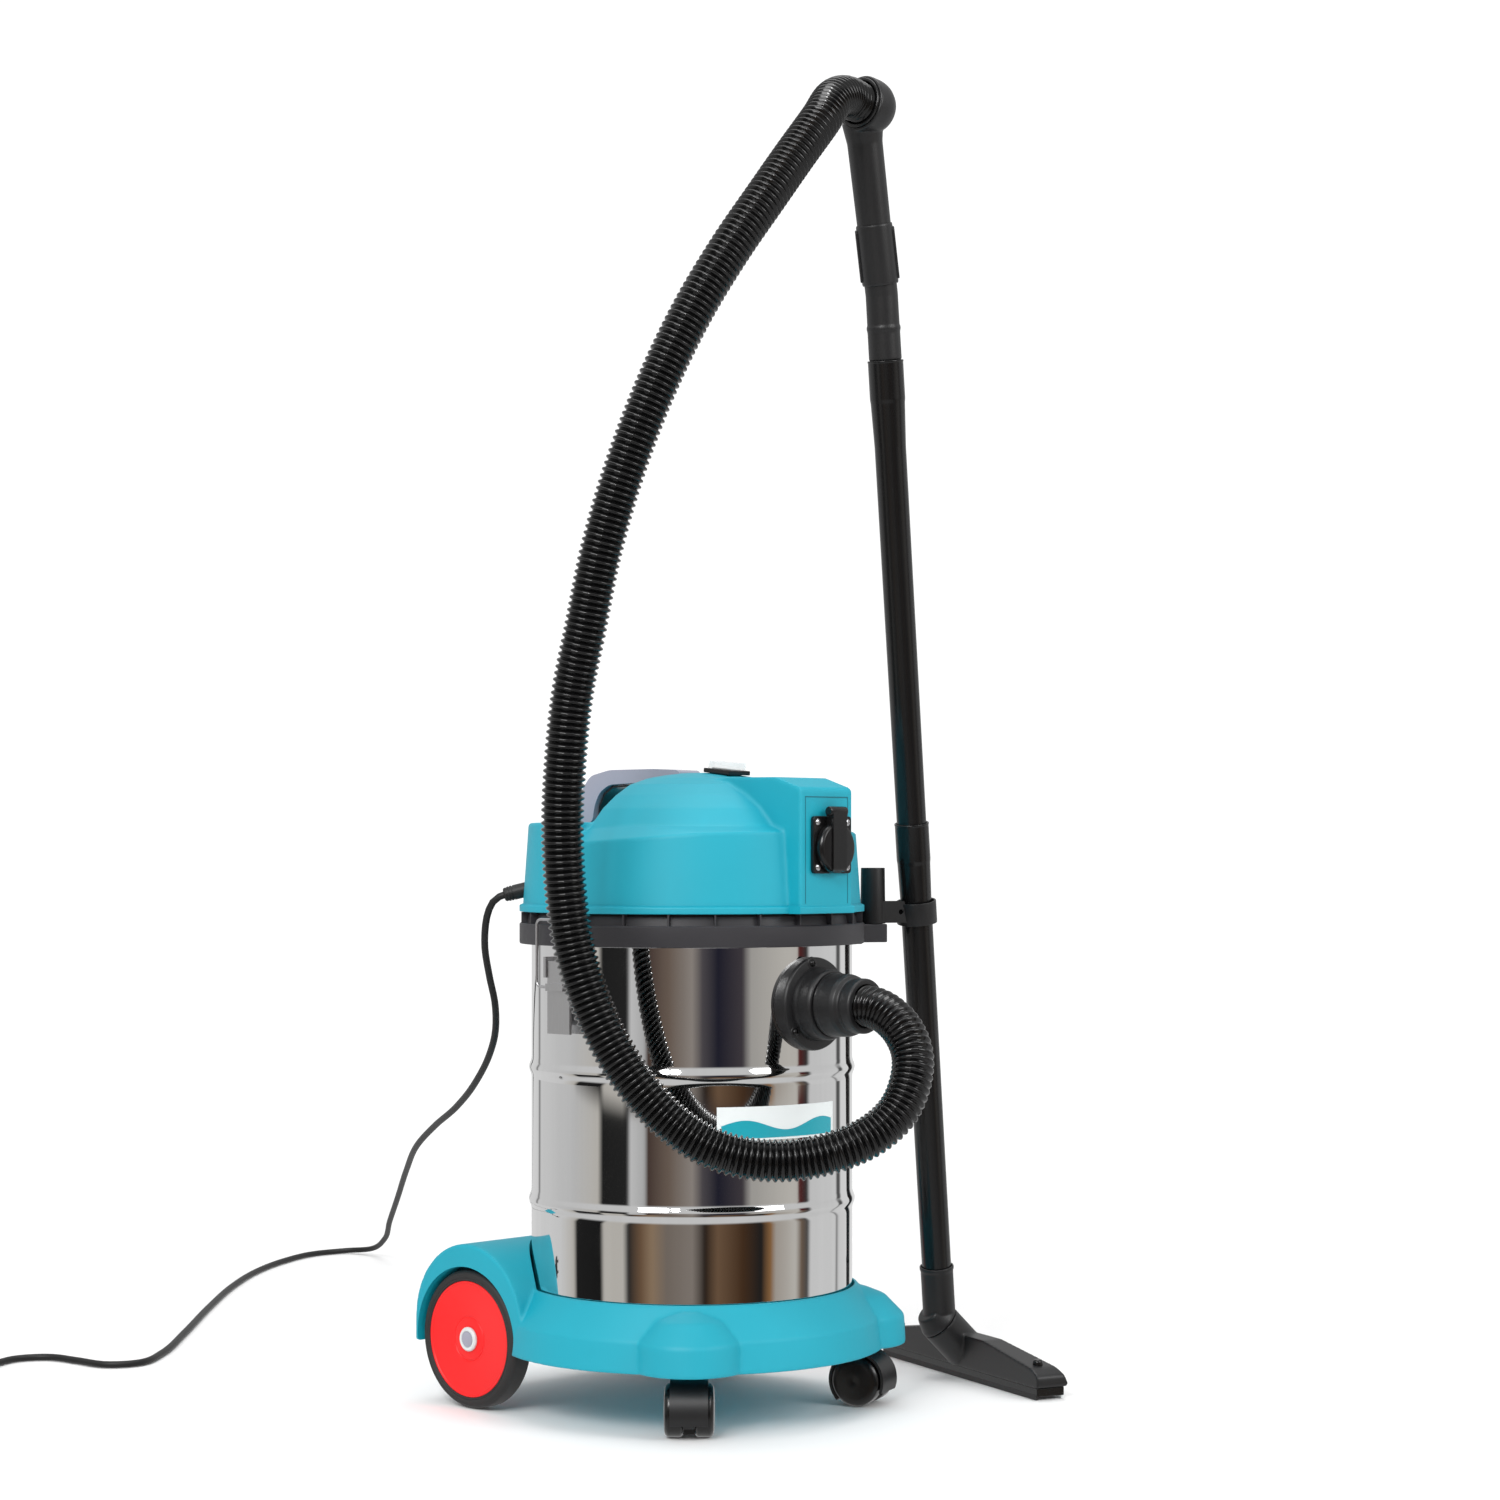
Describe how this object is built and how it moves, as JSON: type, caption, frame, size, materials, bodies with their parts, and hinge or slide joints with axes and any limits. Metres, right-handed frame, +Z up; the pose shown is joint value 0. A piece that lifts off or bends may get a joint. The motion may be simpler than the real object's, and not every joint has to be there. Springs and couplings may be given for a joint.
{
  "type": "wet and dry drum vacuum cleaner",
  "caption": "Wet-and-dry drum vacuum cleaner on a wheeled trolley: steel tank, latched motor head with appliance socket, ribbed hose, tall wand and wide floor nozzle.",
  "frame": {"origin": "on the floor, under the middle of the machine's box without its hose and mains lead", "axes": "+Z up, -Y towards the hose inlet and the power socket, +X towards the wand"},
  "size_m": [0.9349, 1.4743, 1.3033],
  "materials": {
    "teal": "matte",
    "black": "matte",
    "grey": "gloss",
    "red": "matte",
    "rubber": "matte",
    "white": "matte",
    "clear": "gloss",
    "mirror": "polished",
    "steel": "brushed",
    "copper": "brushed",
    "cloth": "matte"
  },
  "bodies": {
    "tank": {"trolley_base": "teal", "rear_axle": "steel", "tank_drum": "mirror", "inlet_flange": "black", "inlet_cuff": "black", "vacuum_hose": "rubber", "mains_cord": "rubber", "mains_plug": "rubber", "latch_bracket_left": "steel", "latch_bracket_right": "steel"},
    "rear_wheel_left": {"rear_tyre_left": "rubber", "rear_hub_left": "red", "rear_cap_left": "white"},
    "caster_left": {"caster_fork_left": "black", "caster_pin_left": "steel"},
    "caster_wheel_left_a": {"caster_wheel_left_a": "black"},
    "caster_wheel_left_b": {"caster_wheel_left_b": "black"},
    "latch_lever_left": {"latch_lever_left": "steel"},
    "latch_bail_left": {"latch_bail_left": "steel"},
    "rear_wheel_right": {"rear_tyre_right": "rubber", "rear_hub_right": "red", "rear_cap_right": "white"},
    "caster_right": {"caster_fork_right": "black", "caster_pin_right": "steel"},
    "caster_wheel_right_a": {"caster_wheel_right_a": "black"},
    "caster_wheel_right_b": {"caster_wheel_right_b": "black"},
    "latch_lever_right": {"latch_lever_right": "steel"},
    "latch_bail_right": {"latch_bail_right": "steel"},
    "head": {"head_base_ring": "black", "drum_seal": "rubber", "head_cover": "teal", "carry_handle": "grey", "strain_relief": "rubber", "wand_holder": "black", "switch_bezel": "black", "switch_boot": "clear", "socket_plate": "black", "motor_casing": "steel", "motor_field": "copper", "upper_bearing": "steel", "filter_cage": "black", "filter_sleeve": "cloth"},
    "rocker_power": {"rocker_power": "black"},
    "rocker_mode": {"rocker_mode": "black"},
    "socket_lid": {"socket_lid": "black"},
    "motor_rotor": {"motor_shaft": "steel", "armature": "copper", "fan_impeller": "steel"},
    "float_ball": {"float_ball": "white"},
    "wand": {"hose_handle": "black", "hose_swivel_ring": "black", "upper_tube": "black", "lower_tube": "black", "nozzle_neck": "black"},
    "air_regulator": {"air_regulator": "black"},
    "nozzle": {"nozzle_body": "black", "nozzle_insert": "rubber"}
  },
  "joints": [
    {"name": "rear_wheel_left_roll", "type": "hinge", "parent": "tank", "child": "rear_wheel_left", "pos_m": [-0.2589, 0.161, 0.0685], "axis": [1, 0, 0], "continuous": true},
    {"name": "caster_left_swivel", "type": "hinge", "parent": "tank", "child": "caster_left", "pos_m": [-0.2139, -0.091, 0.06], "axis": [0, 0, 1], "continuous": true},
    {"name": "caster_wheel_left_a_roll", "type": "hinge", "parent": "caster_left", "child": "caster_wheel_left_a", "pos_m": [-0.22333, -0.09995, 0.025], "axis": [0.688, -0.7257, 0], "continuous": true},
    {"name": "caster_wheel_left_b_roll", "type": "hinge", "parent": "caster_left", "child": "caster_wheel_left_b", "pos_m": [-0.22333, -0.09995, 0.025], "axis": [0.688, -0.7257, 0], "continuous": true},
    {"name": "latch_left_open", "type": "hinge", "parent": "tank", "child": "latch_lever_left", "pos_m": [-0.2669, 0.031, 0.441], "axis": [0, 1, 0], "range_deg": [0, 80]},
    {"name": "latch_left_bail", "type": "hinge", "parent": "latch_lever_left", "child": "latch_bail_left", "pos_m": [-0.273, 0.031, 0.421], "axis": [0, 1, 0], "range_deg": [-85, 5]},
    {"name": "rear_wheel_right_roll", "type": "hinge", "parent": "tank", "child": "rear_wheel_right", "pos_m": [0.0611, 0.161, 0.0685], "axis": [1, 0, 0], "continuous": true},
    {"name": "caster_right_swivel", "type": "hinge", "parent": "tank", "child": "caster_right", "pos_m": [0.0161, -0.091, 0.06], "axis": [0, 0, 1], "continuous": true},
    {"name": "caster_wheel_right_a_roll", "type": "hinge", "parent": "caster_right", "child": "caster_wheel_right_a", "pos_m": [0.02025, -0.10332, 0.025], "axis": [0.9477, 0.3193, 0], "continuous": true},
    {"name": "caster_wheel_right_b_roll", "type": "hinge", "parent": "caster_right", "child": "caster_wheel_right_b", "pos_m": [0.02025, -0.10332, 0.025], "axis": [0.9477, 0.3193, 0], "continuous": true},
    {"name": "latch_right_open", "type": "hinge", "parent": "tank", "child": "latch_lever_right", "pos_m": [0.0691, 0.031, 0.441], "axis": [0, -1, 0], "range_deg": [0, 80]},
    {"name": "latch_right_bail", "type": "hinge", "parent": "latch_lever_right", "child": "latch_bail_right", "pos_m": [0.0752, 0.031, 0.421], "axis": [0, -1, 0], "range_deg": [-85, 5]},
    {"name": "head_lift", "type": "slide", "parent": "tank", "child": "head", "axis": [-0.1723, -0.0741, 0.9823], "range_m": [0, 0.25], "deforming": ["mains_cord"]},
    {"name": "rocker_power_press", "type": "hinge", "parent": "head", "child": "rocker_power", "pos_m": [-0.0989, -0.03527, 0.62767], "axis": [0, 0.995, 0.0998], "range_deg": [0, 15]},
    {"name": "rocker_mode_press", "type": "hinge", "parent": "head", "child": "rocker_mode", "pos_m": [-0.0989, -0.02273, 0.62893], "axis": [0, 0.995, 0.0998], "range_deg": [0, 15]},
    {"name": "socket_lid_open", "type": "hinge", "parent": "head", "child": "socket_lid", "pos_m": [-0.0949, -0.1716, 0.59], "axis": [-1, 0, 0], "range_deg": [0, 100]},
    {"name": "motor_spin", "type": "hinge", "parent": "head", "child": "motor_rotor", "pos_m": [-0.0989, 0.019, 0.53], "axis": [0, 0, 1], "continuous": true},
    {"name": "float_rise", "type": "slide", "parent": "head", "child": "float_ball", "axis": [0, 0, 1], "range_m": [0, 0.06]},
    {"name": "wand_slide", "type": "slide", "parent": "tank", "child": "wand", "axis": [-0.1723, -0.0741, 0.9823], "range_m": [0, 0.36], "deforming": ["vacuum_hose"]},
    {"name": "air_regulator_turn", "type": "hinge", "parent": "wand", "child": "air_regulator", "pos_m": [0.00431, -0.14216, 1.10126], "axis": [-0.2607, -0.079, 0.9622], "range_deg": [-40, 40]},
    {"name": "nozzle_swivel", "type": "hinge", "parent": "wand", "child": "nozzle", "pos_m": [0.1871, -0.0635, 0.058], "axis": [-0.6654, 0.2391, 0.7071], "range_deg": [-30, 30]}
  ],
  "couplings": [
    {"joint": "latch_left_bail", "follows": "latch_left_open", "ratio": -1},
    {"joint": "latch_right_bail", "follows": "latch_right_open", "ratio": -1}
  ]
}
